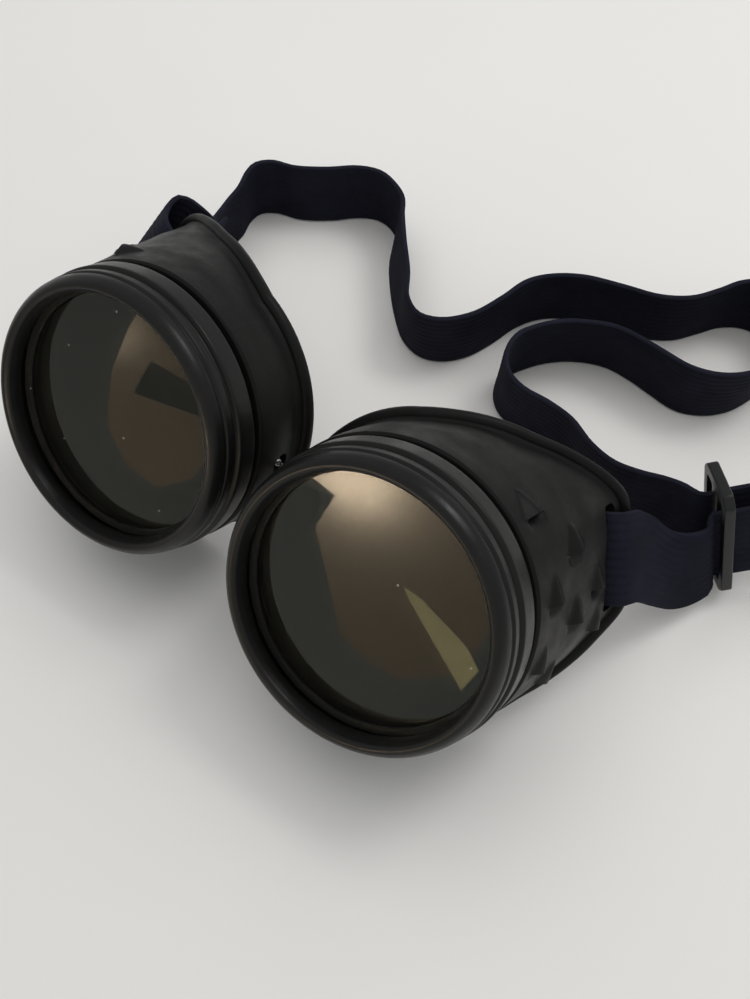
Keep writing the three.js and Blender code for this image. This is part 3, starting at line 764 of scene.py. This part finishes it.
NEAR_SLOT, FAR_SLOT = SLIDER["slots"]
strap_path = StrapPath(
    cup_stations(cups["right"], RIGHT_LUG)
    + table_stations(FLOOR_ROUTE)
    + slider_stations(FAR_SLOT, SLIDER_TRAVEL)
    + table_stations(SLACK_ROUTE)
    + slider_stations(NEAR_SLOT, SLIDER_TRAVEL[::-1])
    + table_stations(FRONT_ROUTE)
    + cup_stations(cups["left"], LEFT_LUG)
)


def strap_section():
    """(across, out) points round the strap's section: ribbed faces and rounded selvedges."""
    edge = STRAP_EDGE
    half = STRAP_THICKNESS / 2
    samples = np.linspace(edge, STRAP_WIDTH - edge, FACE_SAMPLES)
    face = half - RIB_DEPTH * np.cos(np.pi * (samples - STRAP_WIDTH / 2) / RIB_PITCH) ** 6
    front = list(zip(samples, face))
    back = [(x, -out) for x, out in reversed(front)]
    turn = [math.radians(a) for a in (60, 30, 0, -30, -60)]
    far = [(STRAP_WIDTH - edge + edge * math.cos(a), half * math.sin(a)) for a in turn]
    near = [(edge - edge * math.cos(a), half * math.sin(a)) for a in reversed(turn)]
    return front + far + back + near


def head_strap():
    """The whole band, with its length and width in millimetres as the weave's coordinates."""
    places, distances = strap_path.even_steps(STRAP_STEP)
    section = strap_section()
    points, uvs = [], []
    for t, distance in zip(places, distances):
        low, across, out = strap_path.frame(t)
        for width, height in section:
            points.append((low + across * width / STRAP_WIDTH + out * height) * MM)
            uvs.append((distance, width))
    faces = grid_faces(len(places), len(section), False)
    strap = mesh_object("head_strap_band", points, faces, sharp=60)
    layer = strap.data.uv_layers.new(name="UVMap")
    corners = np.zeros(len(strap.data.loops), dtype=np.int32)
    strap.data.loops.foreach_get("vertex_index", corners)
    layer.data.foreach_set("uv", np.array(uvs)[corners].ravel())
    finish_piece(strap, "elastic")
    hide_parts("head_strap")
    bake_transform(strap)


def stitching(cup, station):
    """Rows of stitches across the strap where its end is sewn down."""
    points, faces = [], []
    steps, sides = STITCH["steps"], STITCH["sides"]
    for row in range(STITCH["rows"]):
        low, across, out = strap_path.frame(station + row * STITCH["spacing"])
        along = unit(np.cross(across, out))
        for i in range(STITCH["count"]):
            base = len(points)
            start = (i + 0.5 - STITCH["share"] / 2) / STITCH["count"]
            for k in range(steps):
                share = k / (steps - 1)
                place = start + share * STITCH["share"] / STITCH["count"]
                from_middle = abs(2 * share - 1)
                height = STRAP_THICKNESS / 2 + STITCH["proud"] - from_middle ** 3 * STITCH["sink"]
                width = STITCH["radius"] * (1 - 0.5 * from_middle ** 4)
                centre = low + across * place + out * height
                for s in range(sides):
                    turn = 2 * math.pi * s / sides
                    point = centre + along * width * math.cos(turn) + out * width * math.sin(turn)
                    points.append(point * MM)
            faces += [tuple(base + k for k in face) for face in grid_faces(steps, sides, False)]
    piece = mesh_object(f"{cup.name}_strap_stitching", points, faces)
    finish_piece(piece, "elastic", YARN)
    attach(piece, f"{cup.name}_cup")


# ---------------------------------------------------------------- slider
def slider_plate():
    """Plate with rounded corners, soft edges and two slots."""
    depth, width, corner, bevel = (SLIDER[k] for k in ("depth", "width", "corner", "bevel"))
    curve = bpy.data.curves.new("slider_outline", "CURVE")
    curve.dimensions = "2D"
    curve.fill_mode = "BOTH"
    curve.extrude = (SLIDER["thickness"] / 2 - bevel) * MM
    curve.bevel_depth = bevel * MM
    curve.bevel_resolution = 3
    curve.offset = -bevel * MM

    def outline(points):
        spline = curve.splines.new("POLY")
        spline.points.add(len(points) - 1)
        for target, (x, y) in zip(spline.points, points):
            target.co = (x * MM, y * MM, 0, 1)
        spline.use_cyclic_u = True

    def chamfered(x0, y0, x1, y1, chamfer, softness):
        corners = [
            (x0 + chamfer, y0), (x1 - chamfer, y0), (x1, y0 + chamfer), (x1, y1 - chamfer),
            (x1 - chamfer, y1), (x0 + chamfer, y1), (x0, y1 - chamfer), (x0, y0 + chamfer),
        ]
        return [tuple(p) for p in rounded([(x, y, softness, 1) for x, y in corners])]

    outline(chamfered(0, 0, depth, width, corner, SLIDER["softness"]))
    margin = (width - SLIDER["slot_length"]) / 2
    half = SLIDER["slot_width"] / 2
    chamfer, softness = SLIDER["slot_corner"], SLIDER["slot_softness"]
    for slot in SLIDER["slots"]:
        opening = chamfered(slot - half, margin, slot + half, width - margin, chamfer, softness)
        outline(opening[::-1])
    source = link(bpy.data.objects.new("slider_outline", curve))
    bpy.context.view_layer.update()
    mesh = bpy.data.meshes.new_from_object(source.evaluated_get(bpy.context.evaluated_depsgraph_get()))
    bpy.data.objects.remove(source)
    origin, depth_axis, width_axis, normal = slider_axes()
    matrix = Matrix.Identity(4)
    for column, axis in enumerate((depth_axis, width_axis, normal)):
        for row in range(3):
            matrix[row][column] = axis[row]
    matrix.translation = Vector((layout_origin + origin) * MM)
    mesh.transform(matrix)
    bm = bmesh.new()
    bm.from_mesh(mesh)
    bmesh.ops.remove_doubles(bm, verts=bm.verts, dist=1e-6)
    bmesh.ops.recalc_face_normals(bm, faces=bm.faces)
    bm.to_mesh(mesh)
    bm.free()
    mesh.shade_smooth()
    mesh.set_sharp_from_angle(angle=math.radians(35))
    plate = link(bpy.data.objects.new("slider_plate", mesh))
    finish_piece(plate, "slider_plastic")
    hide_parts("strap_slider")
    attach(plate, "slider")


# ---------------------------------------------------------------- nose chain
def hole_point(cup, distance):
    return cup.centre - cup.side * distance * cup.level + CHAIN_HOLE["z"] * cup.z


outward = [SHOULDER_R + CHAIN_STATIONS[key] for key in ("end", "inside", "outside")]
chain_stations = (
    [hole_point(cups["left"], distance) for distance in outward]
    + [hole_point(cups["right"], distance) for distance in reversed(outward)]
)


def chain_line():
    """Closely spaced points along the chain, and the distance to each."""
    stations = np.linspace(0, len(chain_stations) - 1, CHAIN_POINTS)
    line = np.array([smooth_curve(chain_stations, t) for t in stations])
    lengths = np.concatenate([[0], np.cumsum(np.linalg.norm(np.diff(line, axis=0), axis=1))])
    return line, lengths


def at_distance(line, lengths, distance):
    return np.array([np.interp(distance, lengths, line[:, k]) for k in range(3)])


def direction_at(line, lengths, distance):
    ahead = at_distance(line, lengths, distance + CHAIN_STEP)
    return ahead - at_distance(line, lengths, distance - CHAIN_STEP)


def square_to(direction):
    """Two unit vectors square to a direction and to each other."""
    first = unit(np.cross(direction, (0, 0, 1)))
    return first, np.cross(unit(direction), first)


def lathe_rows(centre, direction, outline, sides):
    """Rows of points of an outline of (radius, height) turned about a direction."""
    first, second = square_to(direction)
    rows = []
    for radius, height in outline:
        for s in range(sides):
            turn = 2 * math.pi * s / sides
            out = first * math.cos(turn) + second * math.sin(turn)
            rows.append((centre + out * radius + unit(direction) * height) * MM)
    return rows


def nose_chain():
    """Balls at even gaps along a thin wire."""
    line, lengths = chain_line()
    total = lengths[-1]
    balls = int(total / BALL_GAP) + 1
    start = (total - (balls - 1) * BALL_GAP) / 2
    points, faces = [], []
    sides, wire_sides = 20, 10
    latitudes = [math.radians(a) for a in range(-80, 81, 16)]
    ball = [(BALL_R * math.cos(a), BALL_R * math.sin(a)) for a in latitudes]
    for i in range(balls):
        distance = start + i * BALL_GAP
        centre = at_distance(line, lengths, distance)
        base = len(points)
        points += lathe_rows(centre, direction_at(line, lengths, distance), ball, sides)
        faces += [tuple(base + k for k in face) for face in grid_faces(len(ball), sides, False)]
    base = len(points)
    steps = 40
    for i in range(steps + 1):
        distance = start + (total - 2 * start) * i / steps
        centre = at_distance(line, lengths, distance)
        ahead = direction_at(line, lengths, distance)
        points += lathe_rows(centre, ahead, [(WIRE_R, 0)], wire_sides)
    faces += [tuple(base + k for k in face) for face in grid_faces(steps + 1, wire_sides, False)]
    chain = mesh_object("ball_chain", points, faces, sharp=50)
    finish_piece(chain, "chain_metal")
    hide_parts("nose_chain")
    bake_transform(chain)


def chain_stop(cup):
    """Rounded washer on the chain, inside the cup."""
    line, lengths = chain_line()
    share = STOP["share"] if cup.side > 0 else 1 - STOP["share"]
    distance = lengths[-1] * share
    centre = at_distance(line, lengths, distance)
    ahead = direction_at(line, lengths, distance)
    half = STOP["thickness"] / 2
    corners = [
        (STOP["inner"], -half, 0.1, 1), (STOP["outer"], -half, 0.3, 1),
        (STOP["outer"], half, 0.3, 1), (STOP["inner"], half, 0.1, 1),
    ]
    outline = [tuple(p) for p in rounded(corners)]
    sides = 40
    points = lathe_rows(centre, ahead, outline, sides)
    faces = grid_faces(len(outline), sides, False)[:-2]
    last = (len(outline) - 1) * sides
    faces += [(last + k, k, (k + 1) % sides, last + (k + 1) % sides) for k in range(sides)]
    washer = mesh_object(f"{cup.name}_stop_washer", points, faces, sharp=50)
    finish_piece(washer, "chain_metal")
    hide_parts(f"{cup.name}_chain_stop")
    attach(washer, f"{cup.name}_cup")


# ---------------------------------------------------------------- set
def floor():
    mesh = bpy.data.meshes.new("floor")
    half = FLOOR["half_size"] * MM
    corners = [(-half, -half, 0), (half, -half, 0), (half, half, 0), (-half, half, 0)]
    mesh.from_pydata(corners, [], [(0, 1, 2, 3)])
    plane = link(bpy.data.objects.new("floor", mesh))
    plane.location.z = -FLOOR["drop"] * MM
    n = Nodes("floor")
    where = n.coordinates()
    n.set(
        Base_Color=n.mix(n.noise(where, 9, 4, 0.5), (0.755, 0.745, 0.725, 1), (0.8, 0.79, 0.77, 1)),
        Roughness=0.75,
        Normal=n.bump(n.noise(where, 900, 3), 0.03 * MM, 0.3),
        Specular_IOR_Level=0.2,
    )
    mesh.materials.append(n.material)


def reflector(name, outline, y, colour, strength, glow_at=None):
    """A flat upright card in front of the goggles, which shows only in mirrors and through clear glass.
    glow_at is (x, z, peak, reach): round that point the strength rises by peak."""
    mesh = bpy.data.meshes.new(name)
    points = [((x + CARD_SHIFT) * MM, y * MM, z * MM) for x, z in outline]
    mesh.from_pydata(points, [], [tuple(range(len(outline)))])
    card = link(bpy.data.objects.new(name, mesh))
    for kind in ("camera", "diffuse", "volume_scatter", "shadow"):
        setattr(card, f"visible_{kind}", False)
    n = Nodes(name)
    n.tree.nodes.remove(n.shader)
    glow = n.node("ShaderNodeEmission")
    glow.inputs["Color"].default_value = (*colour, 1)
    if glow_at:
        x, z, peak, reach = glow_at
        place = n.node("ShaderNodeSeparateXYZ")
        n.feed(place.inputs[0], n.coordinates())
        from_x = n.math("SUBTRACT", place.outputs[0], (x + CARD_SHIFT) * MM)
        from_z = n.math("SUBTRACT", place.outputs[2], z * MM)
        aside = n.math("MULTIPLY", from_x, 1 / (reach * MM))
        above = n.math("MULTIPLY", from_z, 1.5 / (reach * MM))
        spread = n.math("ADD", n.math("MULTIPLY", aside, aside), n.math("MULTIPLY", above, above))
        below = n.math("ADD", n.math("MULTIPLY", spread, spread), 1.0)
        bell = n.math("POWER", n.math("DIVIDE", 1.0, below), 0.8)
        n.feed(glow.inputs["Strength"], n.math("ADD", n.math("MULTIPLY", bell, peak), strength))
    else:
        glow.inputs["Strength"].default_value = strength
    output = next(node for node in n.tree.nodes if node.type == "OUTPUT_MATERIAL")
    n.tree.links.new(glow.outputs[0], output.inputs["Surface"])
    mesh.materials.append(n.material)


def reflectors():
    """What the flat lenses mirror: a dark room with pale lit surfaces in it."""
    edges = {"dark_room_left": (-55, 140, 0.55), "dark_room_right": (-260, -55, 0.42)}
    for name, (start, end, strength) in edges.items():
        wall = [(start, -10), (end, -10), (end, 190), (start, 190)]
        reflector(name, wall, CARD_Y - 2, ROOM_GREY, strength)
    pale_left = [
        (-33, 59), (-25, 58), (-25, 49), (-4, 30), (5, 28.5), (14, 29), (26, 38), (26, 51),
        (14, 68), (-2, 78), (-20, 78), (-30, 70),
    ]
    reflector("pale_left", pale_left, CARD_Y, BEIGE, 0.75, (-24, 65, 13, 12))
    streak = [(3, 48), (6, 46), (28, 35), (29, 41), (24, 44), (8, 48)]
    reflector("lamp_streak", streak, CARD_Y + 1, LAMP_YELLOW, 2.6)
    pale_right = [
        (-104, 62), (-104, 50), (-102, 38), (-98, 30), (-94, 24), (-83, 18), (-71, 18), (-64, 25),
        (-62, 38), (-70, 51), (-84, 62),
    ]
    reflector("pale_right", pale_right, CARD_Y, BEIGE, 0.72, (-107, 48, 1.6, 9))
    dark_corner = [(-92, 36), (-92, 46), (-66, 47), (-62, 42)]
    reflector("dark_corner", dark_corner, CARD_Y + 1, CORNER_GREY, 0.3)


def area_light(name, place, target, size, energy, colour):
    data = bpy.data.lights.new(name, "AREA")
    data.shape = "DISK"
    data.size = size * MM
    data.energy = energy
    data.color = colour
    light = link(bpy.data.objects.new(name, data))
    light.location = Vector(place) * MM
    light.rotation_euler = (Vector(target) - Vector(place)).to_track_quat("-Z", "Y").to_euler()
    light.visible_transmission = False
    return light


def lighting():
    """An even sky, a lamp high behind the goggles and a wide soft fill over them."""
    world = bpy.data.worlds.new("studio")
    world.use_nodes = True
    background = world.node_tree.nodes["Background"]
    background.inputs["Color"].default_value = (0.97, 0.985, 1.0, 1)
    background.inputs["Strength"].default_value = 0.46
    bpy.context.scene.world = world
    area_light("window", (190, 330, 690), (0, 0, 20), 260, 1.0, (1, 0.985, 0.965))
    fill = area_light("fill", (-40, 150, 640), (-20, 20, 0), 1000, 2.8, (1, 0.99, 0.975))
    fill.visible_glossy = False


CAMERA = {
    "place": (64.46, -121.10, 206.62),
    "right": (0.80896, 0.58783, -0.00532),
    "up": (-0.49859, 0.69089, 0.52353),
    "lens": 39.003,
}


def camera():
    data = bpy.data.cameras.new("camera")
    data.lens = CAMERA["lens"]
    data.clip_start = 0.005
    obj = link(bpy.data.objects.new("camera", data))
    right, up = Vector(CAMERA["right"]), Vector(CAMERA["up"])
    matrix = Matrix.Identity(4)
    for column, axis in enumerate((right, up, right.cross(up))):
        for row in range(3):
            matrix[row][column] = axis[row]
    matrix.translation = Vector(CAMERA["place"]) * MM
    obj.matrix_world = matrix
    bpy.context.scene.camera = obj
    bpy.context.scene.view_settings.view_transform = "Standard"


# ---------------------------------------------------------------- the scene
camera()
lighting()
floor()
reflectors()
for each in cups.values():
    eyecup(each)
    retaining_ring(each)
    chain_stop(each)
    dress_node(f"{each.name}_cover_lens", "cover_glass")
    dress_node(f"{each.name}_filter_lens", "filter_glass")
    dress_node(f"{each.name}_lens_spacer", "soft_rubber")
    dress_node(f"{each.name}_lens_gasket", "soft_rubber")
head_strap()
stitching(cups["right"], SEWN_AT["right"])
stitching(cups["left"], strap_path.last - SEWN_AT["left"])
slider_plate()
nose_chain()
